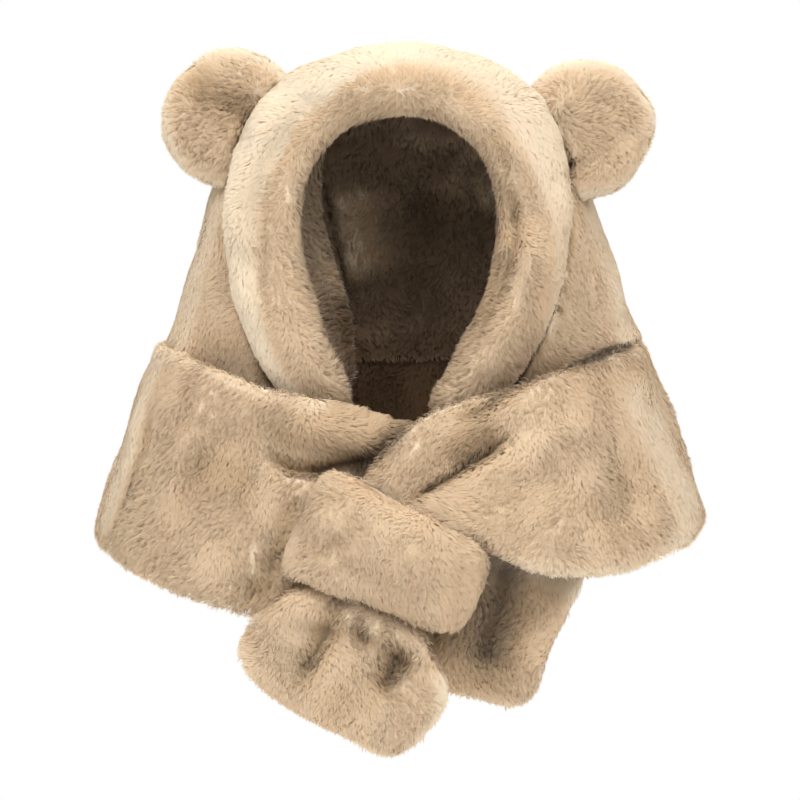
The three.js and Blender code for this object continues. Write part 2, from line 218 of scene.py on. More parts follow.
def applyModifiers(piece):
    shape = piece.evaluated_get(bpy.context.evaluated_depsgraph_get())
    mesh = bpy.data.meshes.new_from_object(shape)
    piece.modifiers.clear()
    old = piece.data
    piece.data = mesh
    bpy.data.meshes.remove(old)


def coreOf(node, settings):
    bm = bmesh.new()
    bm.from_mesh(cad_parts[node].data)
    bmesh.ops.remove_doubles(bm, verts=bm.verts, dist=1e-6)
    core = bpy.data.objects.new(settings["name"], bpy.data.meshes.new(settings["name"]))
    bm.to_mesh(core.data)
    bm.free()
    scene.collection.objects.link(core)
    even = core.modifiers.new("even", "REMESH")
    even.mode = "VOXEL"
    even.voxel_size = settings["voxel"]
    soft = core.modifiers.new("soft", "SMOOTH")
    soft.factor = 0.5
    soft.iterations = settings["soften"]
    sunk = core.modifiers.new("sunk", "DISPLACE")
    sunk.mid_level = 0
    sunk.strength = -settings["sink"]
    applyModifiers(core)
    points = arrayOf(core.data.vertices, "co", 3)
    normals = arrayOf(core.data.vertices, "normal", 3)
    height = waves(points, settings["wrinkleSize"], settings["seed"]) * settings["wrinkle"]
    points += normals * height[:, None]
    core.data.vertices.foreach_set("co", points.ravel())
    core.data.shade_smooth()
    core.data.update()
    return core


def strokeAt(points, stroke):
    # a stroke is a line in the front view, in mm, felt over its width
    # its ends fade over a share of its length, and blunt ones are felt up to their ends
    ending = 0.22
    seen = points[:, (0, 2)] * 1000
    line = np.array(stroke["line"], float)
    steps = np.linalg.norm(np.diff(line, axis=0), axis=1)
    starts = np.concatenate([[0], np.cumsum(steps)])
    nearest = np.full(len(points), 1e9)
    place = np.zeros(len(points))
    for a, b, step, start in zip(line, line[1:], steps, starts):
        t = np.clip(((seen - a) @ (b - a)) / step ** 2, 0, 1)
        away = np.linalg.norm(seen - a - t[:, None] * (b - a), axis=1)
        place = np.where(away < nearest, (start + t * step) / starts[-1], place)
        nearest = np.minimum(nearest, away)
    ends = np.clip(np.minimum(place, 1 - place) / ending + stroke.get("blunt", 0), 0, 1)
    depths = points[:, 1] * 1000
    inReach = np.clip((stroke.get("nearerThan", 1000) - depths) / stroke.get("fade", 0.01), 0, 1)
    inReach *= depths > stroke.get("fartherThan", -1000)
    return np.exp(-(nearest / stroke["width"]) ** 2) * ends * inReach


def pressFolds(core, folds):
    # each fold is pressed into what faces the viewer there; below nought it is raised
    points = arrayOf(core.data.vertices, "co", 3)
    normals = arrayOf(core.data.vertices, "normal", 3)
    front = np.clip(-normals[:, 1] * 3, 0, 1)
    moved = np.zeros(len(points))
    for fold in folds:
        facing = 1 if fold.get("allRound") else front
        moved -= strokeAt(points, fold) * facing * fold.get("depth", 0) / 1000
    core.data.vertices.foreach_set("co", (points + normals * moved[:, None]).ravel())
    core.data.update()


def litInFolds(core, folds, lit):
    # painted shade and light: folds darken the pile's colour as if they kept some of the light out, and a
    # few places are painted lighter where the rays find too little
    points = arrayOf(core.data.vertices, "co", 3)
    front = np.clip(0.7 - arrayOf(core.data.vertices, "normal", 3)[:, 1] * 3, 0, 1)
    for fold in folds:
        facing = 1 if fold.get("allRound") else front
        wide = dict(fold, width=fold.get("paintedShadeWidth", fold["width"]))
        felt = strokeAt(points, wide) * facing
        lit = lit * (1 - fold.get("paintedShade", 0) * felt) + fold.get("light", 0) * felt
    return np.clip(lit, 0, 1)


def puffUp(core):
    # the cloth is blown out a little by simulation, and held within a limit
    start = arrayOf(core.data.vertices, "co", 3)
    cloth = core.modifiers.new("puff", "CLOTH")
    cloth.settings.use_pressure = True
    cloth.settings.uniform_pressure_force = puff["pressure"]
    cloth.settings.effector_weights.gravity = 0
    for step in range(1, puff["steps"] + 1):
        scene.frame_set(step)
    shape = core.evaluated_get(bpy.context.evaluated_depsgraph_get())
    moved = arrayOf(shape.data.vertices, "co", 3) - start
    length = np.linalg.norm(moved, axis=1, keepdims=True)
    core.modifiers.clear()
    scene.frame_set(1)
    moved *= np.minimum(1, puff["limit"] / np.maximum(length, 1e-9))
    core.data.vertices.foreach_set("co", (start + moved).ravel())
    core.data.update()


# each fold presses or raises the cloth by its depth, and may paint shade or light into the pile's colour
# over its width
folds = {
    "hood": [
        {"line": [(-106, -160), (-94, -180), (-88, -194)], "width": 8, "light": 0.3, "blunt": 1},
        {"line": [(92, -192), (122, -182), (150, -172)],
         "width": 3.5, "paintedShade": 0.75, "blunt": 1, "fartherThan": -60},
        {"line": [(-50, -172), (50, -172)], "width": 24, "paintedShade": 0.95, "blunt": 1, "fartherThan": 0},
        {"line": [(-32, -183), (28, -183)], "width": 10, "paintedShade": 1, "allRound": True, "blunt": 1,
         "fartherThan": 40, "nearerThan": 106},
        {"line": [(10, -70), (14, -140)],
         "width": 50, "paintedShade": 0.6, "light": 0.05, "blunt": 1, "fartherThan": 0},
        {"line": [(-38, -60), (-34, -90), (-32, -130)], "width": 20, "light": 0.6, "fartherThan": -50},
        {"line": [(-53, -45), (-49, -73), (-44, -100), (-38, -130)],
         "width": 4, "paintedShade": 1, "blunt": 0.5, "fartherThan": 0},
        {"line": [(97, -147), (101, -158)], "width": 7, "light": 0.5, "blunt": 1},
        {"line": [(-148, -172), (-136, -178)],
         "width": 8, "depth": -3, "light": 0.5, "allRound": True, "blunt": 1},
        {"line": [(148, -172), (136, -176)],
         "width": 8, "depth": -3.5, "light": 0.5, "allRound": True, "blunt": 1},
    ],
    "face_rim": [
        {"line": [(62, -66), (70, -88), (71, -112), (64, -138), (54, -162), (44, -182)],
         "width": 4.5, "depth": 6, "paintedShade": 0.45, "paintedShadeWidth": 5},
        {"line": [(50, -36), (62, -52), (69, -72)], "width": 6, "depth": 3, "paintedShade": 0.15},
        {"line": [(-44, -24), (-64, -38), (-82, -62), (-90, -92), (-90, -122), (-84, -150)],
         "width": 9, "depth": 4, "paintedShade": 0.22, "paintedShadeWidth": 9},
        {"line": [(-40, -18), (0, -14), (40, -20)], "width": 8, "depth": 1, "paintedShade": 0.15},
        {"line": [(-50, -50), (-57, -80), (-56, -110), (-50, -140), (-42, -170), (-38, -198)],
         "width": 15, "paintedShade": 0.8, "blunt": 0.4, "fartherThan": -76},
        {"line": [(-36, -150), (-32, -175), (-31, -205)],
         "width": 13, "paintedShade": 1, "blunt": 1, "fartherThan": -76},
        {"line": [(33, -217), (49, -213), (64, -205), (93, -187)], "width": 4, "paintedShade": 0.8, "blunt": 1},
        {"line": [(-103, -60), (-106, -100), (-100, -140), (-88, -172)], "width": 8, "depth": -2.5},
        {"line": [(-60, -15), (0, -6), (60, -16)], "width": 10, "depth": -2.5},
        {"line": [(100, -48), (107, -76)], "width": 7, "light": 0.4, "allRound": True, "blunt": 1},
        {"line": [(96, -70), (99, -110), (88, -150), (66, -186)],
         "width": 8, "depth": -2.5, "paintedShade": 0.12, "paintedShadeWidth": 14},
    ],
    "ear_left": [
        {"line": [(-74, -12), (-90, -34), (-108, -74)],
         "width": 7, "depth": -2.5, "light": 0.2, "allRound": True, "blunt": 1},
        {"line": [(-134, -14), (-116, -16), (-98, -24), (-84, -34)],
         "width": 12, "depth": 3, "paintedShade": 0.5, "paintedShadeWidth": 11, "blunt": 0.3},
    ],
    "ear_right": [
        {"line": [(97, -34), (112, -78)],
         "width": 8, "depth": -3, "light": 0.6, "allRound": True, "blunt": 1},
        {"line": [(98, -22), (112, -28), (122, -40), (134, -54)],
         "width": 12, "depth": 3, "paintedShade": 0.08, "paintedShadeWidth": 13},
    ],
    "scarf": [
        {"line": [(-152, -178), (-138, -182)],
         "width": 7, "depth": -2.5, "light": 0.6, "allRound": True, "blunt": 1},
        {"line": [(152, -178), (138, -180)],
         "width": 7, "depth": -2.5, "light": 0.6, "allRound": True, "blunt": 1},
        {"line": [(77, -194), (96, -190), (118, -185), (146, -175)],
         "width": 3.2, "paintedShade": 0.95, "blunt": 1},
        {"line": [(-155, -208), (-160, -232), (-168, -262), (-175, -284)],
         "width": 3.5, "depth": 4, "paintedShade": 0.4, "paintedShadeWidth": 3},
        {"line": [(-84, -240), (-66, -250), (-48, -252), (-28, -247), (-12, -241)],
         "width": 5, "depth": 7, "paintedShade": 0.45, "paintedShadeWidth": 5},
        {"line": [(-52, -249), (-46, -253)], "width": 5, "paintedShade": 0.7, "blunt": 1},
        {"line": [(-30, -250), (-15, -241), (-4, -230), (2, -222)],
         "width": 7.5, "paintedShade": 0.9, "blunt": 0.5},
        {"line": [(-90, -210), (-60, -222), (-30, -228), (-6, -228)],
         "width": 10, "depth": -5, "paintedShade": 0.2, "paintedShadeWidth": 14},
        {"line": [(-138, -246), (-110, -254), (-84, -258)],
         "width": 13, "depth": 2.5, "paintedShade": 0.32, "paintedShadeWidth": 20},
        {"line": [(-64, -268), (-72, -292), (-82, -318)],
         "width": 8, "depth": 3, "paintedShade": 0.4, "blunt": 0.3},
        {"line": [(-94, -322), (-78, -328)], "width": 8, "depth": 2, "paintedShade": 0.35, "blunt": 0.5},
        {"line": [(8, -268), (22, -261), (38, -250), (55, -240), (66, -231)],
         "width": 4.5, "depth": 8, "paintedShade": 1, "paintedShadeWidth": 4.5, "blunt": 0.3},
        {"line": [(26, -244), (46, -232), (64, -221)], "width": 9, "paintedShade": 0.4},
        {"line": [(33, -221), (49, -216), (64, -206), (76, -198), (92, -192)],
         "width": 4, "depth": 3, "paintedShade": 0.85},
        {"line": [(6, -252), (24, -243), (44, -230)], "width": 7, "depth": -3},
        {"line": [(26, -278), (50, -262), (80, -240), (110, -218)], "width": 12, "depth": -4},
        {"line": [(99, -198), (136, -200)], "width": 14, "paintedShade": 0.05, "blunt": 1},
        {"line": [(120, -290), (140, -270), (150, -240)], "width": 14, "depth": 3, "paintedShade": 0.08},
        {"line": [(-68, -330), (-34, -340), (12, -357), (34, -357)],
         "width": 8, "depth": -4, "blunt": 0.6, "nearerThan": -125},
        {"line": [(-40, -341), (-46, -350), (-53, -362), (-57, -371)],
         "width": 6, "depth": 5, "paintedShade": 0.85, "paintedShadeWidth": 6.5, "blunt": 0.5, "nearerThan": -125},
        {"line": [(-25, -345), (-19, -353)],
         "width": 4, "depth": 3, "paintedShade": 0.6, "paintedShadeWidth": 5, "blunt": 0.6, "nearerThan": -125},
        {"line": [(6, -356), (0, -363), (-8, -374), (-16, -384)],
         "width": 9, "depth": 5, "paintedShade": 0.85, "paintedShadeWidth": 8.5, "nearerThan": -125},
        {"line": [(66, -304), (60, -335), (50, -372)],
         "width": 9, "depth": 5, "paintedShade": 0.9, "paintedShadeWidth": 20, "blunt": 0.5, "fartherThan": -128},
        {"line": [(-45, -382), (-10, -390)], "width": 16, "paintedShade": 0.14, "nearerThan": -125},
        {"line": [(-70, -196), (70, -196)], "width": 40, "paintedShade": 0.95, "blunt": 1, "fartherThan": 20},
        {"line": [(-70, -210), (0, -225), (60, -210)],
         "width": 60, "paintedShade": 1, "blunt": 1, "fartherThan": 20},
    ],
    "keeper": [
        {"line": [(-52, -275), (-20, -292), (20, -310)], "width": 14, "depth": -3},
        {"line": [(-40, -290), (-34, -300)], "width": 8, "depth": 1, "paintedShade": 0.15},
        {"line": [(-40, -305), (-10, -318)], "width": 6, "depth": 2},
        {"line": [(34, -290), (36, -320), (30, -345)],
         "width": 6, "depth": 2.5, "paintedShade": 0.12, "paintedShadeWidth": 10},
    ],
}
cloth = {"voxel": 0.003, "sink": 0.0023, "soften": 1, "wrinkle": 0.0008, "wrinkleSize": 0.02}
cloths = {
    "hood": dict(cloth, name="hoodCloth", voxel=0.0036, soften=2, wrinkle=0.0009, wrinkleSize=0.03, seed=1),
    "face_rim": dict(cloth, name="faceRimCloth", voxel=0.0032, wrinkleSize=0.022, seed=2),
    "ear_left": dict(cloth, name="leftEarCloth", voxel=0.0034, seed=3),
    "ear_right": dict(cloth, name="rightEarCloth", voxel=0.0034, seed=4),
    "scarf": dict(cloth, name="scarfCloth", wrinkle=0.001, wrinkleSize=0.028, seed=5),
    "keeper": dict(cloth, name="keeperCloth", seed=6),
}
paddedPieces = ("face_rim", "ear_left", "ear_right", "keeper")
puff = {"pressure": 4, "steps": 20, "limit": 0.002}
facesKept = 0.42

cores = {node: coreOf(node, settings) for node, settings in cloths.items()}
for node, core in cores.items():
    pressFolds(core, folds[node])
for node in paddedPieces:
    puffUp(cores[node])
for node, core in cores.items():
    fewer = core.modifiers.new("fewer", "DECIMATE")
    fewer.ratio = facesKept
    applyModifiers(core)
    core.data.shade_smooth()
    print("core of", node, len(core.data.polygons), "faces")


# How free each core vertex is: room above it, and the share of directions that see out

def treeOf(pieces):
    points, faces = [], []
    for piece in pieces:
        piece.data.calc_loop_triangles()
        faces += (arrayOf(piece.data.loop_triangles, "vertices", 3, np.int32) + len(points)).tolist()
        points += arrayOf(piece.data.vertices, "co", 3).tolist()
    return BVHTree.FromPolygons(points, faces)


sight = {
    "start": 0.0015, "reach": 0.3,
    "rings": [(math.radians(35), 4), (math.radians(65), 8)],    # tilt and number of rays
    "slope": 2.6, "shade": 0.5,
}
allCores = treeOf(cores.values())


def evened(values, pairs):
    # each value is drawn halfway towards the mean of its neighbours
    total, count = np.zeros(len(values)), np.zeros(len(values))
    for a, b in (pairs.T, pairs.T[::-1]):
        np.add.at(total, a, values[b])
        np.add.at(count, a, 1)
    return (values + total / np.maximum(count, 1)) / 2


def freeOf(core, folds):
    points = arrayOf(core.data.vertices, "co", 3)
    normals = arrayOf(core.data.vertices, "normal", 3)
    side = unit(np.cross(normals, np.roll(normals, 1, axis=1) + (0.3, -0.2, 0.1)))
    across = np.cross(normals, side)
    starts = [Vector(p) for p in points + normals * sight["start"]]
    room = np.empty(len(points))
    for i, (start, normal) in enumerate(zip(starts, normals)):
        room[i] = allCores.ray_cast(start, Vector(normal), sight["reach"])[3] or sight["reach"]
    out = (room >= sight["reach"]).astype(float)
    for tilt, count in sight["rings"]:
        for turn in range(count):
            angle = turn * 2 * math.pi / count
            level = side * math.cos(angle) + across * math.sin(angle)
            rays = normals * math.cos(tilt) + level * math.sin(tilt)
            for i, (start, ray) in enumerate(zip(starts, rays)):
                out[i] += allCores.ray_cast(start, Vector(ray), sight["reach"])[0] is None
    out /= 1 + sum(count for tilt, count in sight["rings"])
    pairs = arrayOf(core.data.edges, "vertices", 2, np.int32)
    # painted shade: the share of directions that see out, with the folds' painted shade and light, is kept
    # as lit and darkens the colour of the pile and backing
    lit = np.clip(sight["slope"] * out - sight["shade"], 0, 1)
    lit = litInFolds(core, folds, evened(evened(lit, pairs), pairs))
    core.data.attributes.new("lit", "FLOAT", "POINT").data.foreach_set("value", lit)
    return room, lit


free = {node: freeOf(core, folds[node]) for node, core in cores.items()}
print("room above each core measured")


# Pile: locks of fine blades, each a narrow kite with one bend

def turned(vectors, axes, angles):
    cosine, sine = np.cos(angles)[:, None], np.sin(angles)[:, None]
    return vectors * cosine + np.cross(axes, vectors) * sine


def flat(vectors, normals):
    return unit(vectors - normals * (vectors * normals).sum(1, keepdims=True))


def strokesOver(points, strokes):
    return sum(stroke["amount"] * strokeAt(points, stroke) for stroke in strokes)


def flowFrom(points, base, arrows):
    # the general direction, bent near each arrow
    # an arrow is its place, its course and its reach in the front view, in mm
    total = np.tile(np.array(base, float), (len(points), 1))
    for x, z, right, up, reach in arrows:
        felt = np.exp(-((points[:, 0] * 1000 - x) ** 2 + (points[:, 2] * 1000 - z) ** 2) / reach ** 2)
        total += 3 * felt[:, None] * (right, 0, up)
    return total


def anyhow(points, normals):
    return 0.0


pileForm = {
    "mostBlades": 99900,
    "fewestLocks": 8,
    "apart": 0.012,             # roots on the two sides of a cloth are told apart this far out
    "rootDepth": 0.0008,
    "lockLengths": (0.86, 1.1),
    "bladeLengths": (0.82, 1.1),
    "bladeWidths": (0.75, 1.25),
    "lockSway": 3,              # degrees
    "tipSway": 6,
    "roll": 28,
    "bendAt": 0.48,             # of the length
    "pull": 0.35,               # how far the bend follows the gathered tip
    "broadest": 1.2,            # of the width, as half a blade
}


def rootsOn(core, room, light, settings, share, rng):
    # roots lie on the cloth by the share of pile that each face has
    points = arrayOf(core.data.vertices, "co", 3)
    normals = arrayOf(core.data.vertices, "normal", 3)
    triangles = arrayOf(core.data.loop_triangles, "vertices", 3, np.int32)
    corners = points[triangles]
    edges = corners[:, 1:] - corners[:, :1]
    areas = np.linalg.norm(np.cross(edges[:, 0], edges[:, 1]), axis=1) / 2
    thick = share(points, normals, room)[triangles].mean(1)
    weights = areas * thick
    count = min(pileForm["mostBlades"], int(weights.sum() * 1e6 * settings["perSquareMm"]))
    chosen = np.sort(rng.choice(len(triangles), count, p=weights / weights.sum()))
    first, second = np.sqrt(rng.random(count)), rng.random(count)
    parts = np.stack([1 - first, first * (1 - second), first * second], 1)
    return {
        "at": (corners[chosen] * parts[:, :, None]).sum(1),
        "up": unit((normals[triangles[chosen]] * parts[:, :, None]).sum(1)),
        "above": (room[triangles[chosen]] * parts).sum(1),
        # painted shade carried to each root
        "lit": (light[triangles[chosen]] * parts).sum(1),
        "thick": thick[chosen],
        "ground": areas[weights > 0].sum(),
    }


def locksOf(roots, settings, rng):
    # each blade joins the nearest lock on its own side of the cloth
    count = len(roots["at"])
    lockCount = max(pileForm["fewestLocks"], int(roots["ground"] / settings["lockArea"]))
    heads = rng.choice(count, min(lockCount, count), replace=False)
    places = roots["at"] + roots["up"] * pileForm["apart"]
    tree = KDTree(len(heads))
    for i, head in enumerate(heads):
        tree.insert(places[head], i)
    tree.balance()
    return heads, np.array([tree.find(place)[1] for place in places])


def combLocks(centre, up, settings, flow, ruffle, rng):
    # how each lock lies: its course, how far it rises and how lively its blades are
    count = len(centre)
    swirl = waves(centre, settings["swirlSize"], settings["seed"] + 50) * math.radians(settings["swirl"])
    brushed = -ruffle(centre, up) * np.ones(count)
    tousled = 0.5 + 0.5 * waves(centre, settings["patch"], settings["seed"] + 70) - brushed
    ruffled = np.clip(tousled, 0, 1)
    lively = 0.15 + 1.6 * ruffled
    swirl += rng.normal(size=count) * math.radians(settings["stray"]) * lively
    length = settings["length"] * rng.uniform(*pileForm["lockLengths"], count)
    rise = rng.normal(0, math.radians(pileForm["lockSway"]), count) * lively
    rise += math.radians(settings["ruffleRise"]) * (ruffled - 0.5 - 0.7 * np.clip(brushed, 0, 1))
    course = turned(flat(flow(centre, up), up), up, swirl)
    return {"centre": centre, "course": course, "length": length, "rise": rise, "lively": lively,
            "ruffled": ruffled, "tousled": tousled, "brushed": brushed}


def bladesOn(roots, lock, settings, rng):
    # lock holds the values of each blade's own lock; a blade is a root, two sides at its bend, and a tip
    up, count = roots["up"], len(roots["up"])
    lively, astir = lock["lively"][:, None], 0.2 + 0.8 * lock["ruffled"]
    along = turned(flat(lock["course"], up), up, rng.normal(size=count) * math.radians(settings["fray"]))
    length = lock["length"] * rng.uniform(*pileForm["bladeLengths"], count)
    length = (length * np.clip(roots["above"] / (0.6 * length), 0.5, 1))[:, None]
    steep = (math.radians(settings["rootRise"]) + lock["rise"])[:, None]
    sway = rng.normal(0, math.radians(pileForm["tipSway"]), count) * astir
    low = (math.radians(settings["tipRise"]) + 0.6 * lock["rise"] + sway)[:, None]
    bend = roots["at"] + length * pileForm["bendAt"] * (along * np.cos(steep) + up * np.sin(steep))
    tips = bend + length * (1 - pileForm["bendAt"]) * (along * np.cos(low) + up * np.sin(low))
    # the tips of a lock gather at its middle line
    offset = roots["at"] - lock["centre"]
    offset -= up * (offset * up).sum(1, keepdims=True)
    beside = offset - along * (offset * along).sum(1, keepdims=True)
    gather = rng.uniform(*settings["gather"], count)[:, None] * lively
    bend -= beside * gather * pileForm["pull"]
    tips -= beside * gather + (offset - beside) * gather * pileForm["pull"]
    # blades at the middle of a lock stand higher
    spread = math.sqrt(settings["lockArea"] / math.pi)
    edge = np.clip(np.linalg.norm(offset, axis=1, keepdims=True) / spread, 0, 1.4)
    rise = settings["heap"] * (0.6 - edge) * lively
    bend += up * rise * 0.5
    tips += up * rise
    # broader where the pile is brushed flat or thin
    roll = (rng.normal(size=count) * math.radians(pileForm["roll"]) * astir)[:, None]
    wide = np.cross(along, up) * np.cos(roll) + up * np.sin(roll)
    broad = settings["width"] / 2 * (2.2 - 1.2 * lock["ruffled"]) * (1 / roots["thick"]) ** 0.7
    broad = np.minimum(broad, settings["width"] * pileForm["broadest"])
    wide *= (broad * rng.uniform(*pileForm["bladeWidths"], count))[:, None]
    kites = np.stack([roots["at"] - up * pileForm["rootDepth"], bend + wide, tips, bend - wide], 1)
    # each lock is shaded as one soft round form, with a little of each blade's own tilt
    own = unit(np.cross(wide, bend - tips))
    return kites, unit(0.85 * up + 0.15 * own + settings["roundness"] * lively * beside / spread)


def kiteMesh(name, kites, normals):
    count = len(kites)
    mesh = bpy.data.meshes.new(name)
    base = np.arange(count)[:, None] * 4
    faces = np.concatenate([base + (0, 1, 3), base + (1, 2, 3)], 1).reshape(-1, 3)
    mesh.from_pydata(kites.reshape(-1, 3).tolist(), [], faces.tolist())
    mesh.shade_smooth()
    mesh.normals_split_custom_set_from_vertices(np.repeat(normals, 4, axis=0).tolist())
    # the flat layout is an even grid with one cell for each blade
    columns = math.ceil(math.sqrt(count))
    cells = np.stack([np.arange(count) % columns, np.arange(count) // columns], 1)
    kite = np.array([(0.5, 0.05), (0.95, 0.5), (0.5, 0.95), (0.05, 0.5)])[[0, 1, 3, 1, 2, 3]]
    layout = (cells[:, None] + kite) / columns
    mesh.uv_layers.new(name="OFBake").data.foreach_set("uv", layout.ravel().astype(np.float32))
    return mesh


def pileOn(name, node, settings, flow, share, ruffle=anyhow):
    rng = np.random.default_rng(settings["seed"])
    roots = rootsOn(cores[node], *free[node], settings, share, rng)
    heads, own = locksOf(roots, settings, rng)
    locks = combLocks(roots["at"][heads], roots["up"][heads], settings, flow, ruffle, rng)
    lock = {title: numbers[own] for title, numbers in locks.items()}
    mesh = kiteMesh(name, *bladesOn(roots, lock, settings, rng))
    count = len(own)
    # the colour varies less where the blades are few and broad
    values = {
        "along": np.tile([0.0, 0.5, 1.0, 0.5], count),
        "strand": np.repeat(0.5 + (rng.random(count) - 0.5) * roots["thick"], 4),
        "lock": np.repeat(0.5 + (rng.random(len(heads))[own] - 0.5) * roots["thick"], 4),
        "tousled": np.repeat(lock["tousled"], 4),
        "brushed": np.repeat(np.clip(lock["brushed"], 0, 2), 4),
        # painted shade for the material
        "lit": np.repeat(roots["lit"], 4),
    }
    for title, numbers in values.items():
        mesh.attributes.new(title, "FLOAT", "POINT").data.foreach_set("value", numbers)
    fur = bpy.data.objects.new(name, mesh)
    scene.collection.objects.link(fur)
    print(name, count, "blades in", len(heads), "locks")
    return fur


shares = {
    "turnedFrom": -0.35, "turnedOver": 0.3,     # of the cosine between the cloth and the eye
    "facing": 0.1,
    "hidden": 0.22,             # of the pile that the front has
    "openRoom": 0.003, "squeezed": 0.25,
}


def frontShare(points, normals, room):
    # the pile is finest where the front shows it, and thin where two pieces lie on each other
    toEye = unit(np.array(camera.location) - points)
    starts = points + normals * sight["start"]
    clear = np.array([allCores.ray_cast(Vector(p), Vector(e))[0] is None for p, e in zip(starts, toEye)])
    towards = (normals * toEye).sum(1)
    shown = np.clip((towards - shares["turnedFrom"]) / shares["turnedOver"], 0, 1)
    shown *= np.where(towards > shares["facing"], clear, 1)
    loose = np.clip(room / shares["openRoom"], shares["squeezed"], 1)
    return (shares["hidden"] + (1 - shares["hidden"]) * shown) * loose


pile = {
    "perSquareMm": 1.8, "length": 0.0064, "width": 0.00042, "lockArea": 8e-6,
    "swirl": 25, "swirlSize": 0.025, "stray": 14, "fray": 10, "rootRise": 56, "tipRise": 18,
    "gather": (0.0, 0.25), "heap": 0.0002, "roundness": 0.38, "patch": 0.02, "ruffleRise": 22,
}

# Hood

hoodPile = dict(pile, perSquareMm=1.3, seed=11, swirlSize=0.03)
# the hood's sides are brushed flat and their colour lifted: partly brushed pile, partly painted highlight
hoodStrokes = [
    {"line": [(-115, -79), (-130, -130), (-142, -176)], "width": 11, "blunt": 1, "amount": -1.2,
     "nearerThan": 50, "fade": 45},
    {"line": [(124, -85), (138, -130), (148, -172)], "width": 12, "blunt": 1, "amount": -1.2,
     "nearerThan": 50, "fade": 45},
]
hoodInsidePile = dict(pile, perSquareMm=0.3, seed=12, width=0.0011, lockArea=2e-5)
hoodHollow = {"y": 0.01, "z": -0.11, "room": 0.012}


def hoodFlow(points, normals):
    return np.stack([points[:, 0] * 1.5, 0.1 + 0 * points[:, 0], -0.5 + 0 * points[:, 0]], 1)


def hoodRuffle(points, normals):
    return strokesOver(points, hoodStrokes)


def isHoodInside(points, normals):
    # the crown is round about a point, and below it the hood is round about an upright line
    above = np.clip(points[:, 2] - hoodHollow["z"], 0, 1)
    outward = np.stack([points[:, 0], points[:, 1] - hoodHollow["y"], above], 1)
    return (normals * outward).sum(1) < 0


def hoodShare(points, normals, room):
    return np.where(isHoodInside(points, normals), 0, frontShare(points, normals, room))


def hoodInsideShare(points, normals, room):
    return np.where(isHoodInside(points, normals) & (room > hoodHollow["room"]), 1.0, 0)


hoodOutside = pileOn("hoodPile", "hood", hoodPile, hoodFlow, hoodShare, hoodRuffle)
hoodInside = pileOn("hoodInsidePile", "hood", hoodInsidePile, hoodFlow, hoodInsideShare)

# Face rim

rimPile = dict(pile, seed=21, middle=(0.0, -0.118), halfWidth=0.077, halfHeight=0.102,
               crest=0.98, slope=1.08, outside=1.1)


def rimPlaces(points):
    x = (points[:, 0] - rimPile["middle"][0]) / rimPile["halfWidth"]
    z = (points[:, 2] - rimPile["middle"][1]) / rimPile["halfHeight"]
    return x, z, np.hypot(x, z)


def rimFlow(points, normals):
    x, z, q = rimPlaces(points)
    outward = np.stack([x / q, 0 * x, z / q], 1)
    downRim = np.stack([z / q * np.tanh(x * 4), 0 * x, -np.abs(x / q)], 1)
    # the pile parts at the crest and lies along the rim on its slope
    across = np.tanh((q - rimPile["crest"]) * 9) * (1 - 0.85 * np.clip((q - rimPile["slope"]) / 0.12, 0, 1))
    return outward * across[:, None] + downRim * 0.8 + (0, 0.5, 0)


# the outer roll is brushed flat and its colour lifted, more on its top and on the left: partly brushed pile,
# partly painted highlight
def rimRuffle(points, normals):
    x, z, q = rimPlaces(points)
    top = np.clip(z / q, 0, 1)
    outer = np.clip((q - rimPile["outside"] + 0.08 * top - 0.03 * np.tanh(x * 2)) / 0.13, 0, 1)
    return np.where(q < rimPile["outside"], 0.35, 0) - outer * (1.25 - 0.3 * np.tanh(x * 4) + 0.3 * top)


rimPlush = pileOn("faceRimPile", "face_rim", rimPile, rimFlow, frontShare, rimRuffle)

# Ears

earPile = dict(pile, perSquareMm=2.6, seed=31, swirlSize=0.018, edge=0.62, edgeWidth=0.25)
earPlaces = {"left": (-0.107, -0.03, 0.0465), "right": (0.118, -0.0365, 0.0455)}


def fromEar(points, side):
    x, z, radius = earPlaces[side]
    return (points[:, 0] - x) / radius, (points[:, 2] - z) / radius


def earFlow(side):
    away = -1 if side == "left" else 1

    def flow(points, normals):
        x, z = fromEar(points, side)
        return np.stack([1.5 * x + 0.5 * away, 0 * x, 1.5 * z - 0.5], 1)
    return flow


# the ear's edge band is brushed flat and its colour lifted: partly brushed pile, partly painted highlight
def earRuffle(side):
    def ruffle(points, normals):
        edge = (np.hypot(*fromEar(points, side)) - earPile["edge"]) / earPile["edgeWidth"]
        return 0.25 - 1.6 * np.clip(edge, 0, 1)
    return ruffle


leftEarPlush = pileOn("leftEarPile", "ear_left", earPile, earFlow("left"), frontShare, earRuffle("left"))
rightEarPlush = pileOn(
    "rightEarPile", "ear_right", dict(earPile, seed=32), earFlow("right"), frontShare, earRuffle("right"),
)

# Scarf

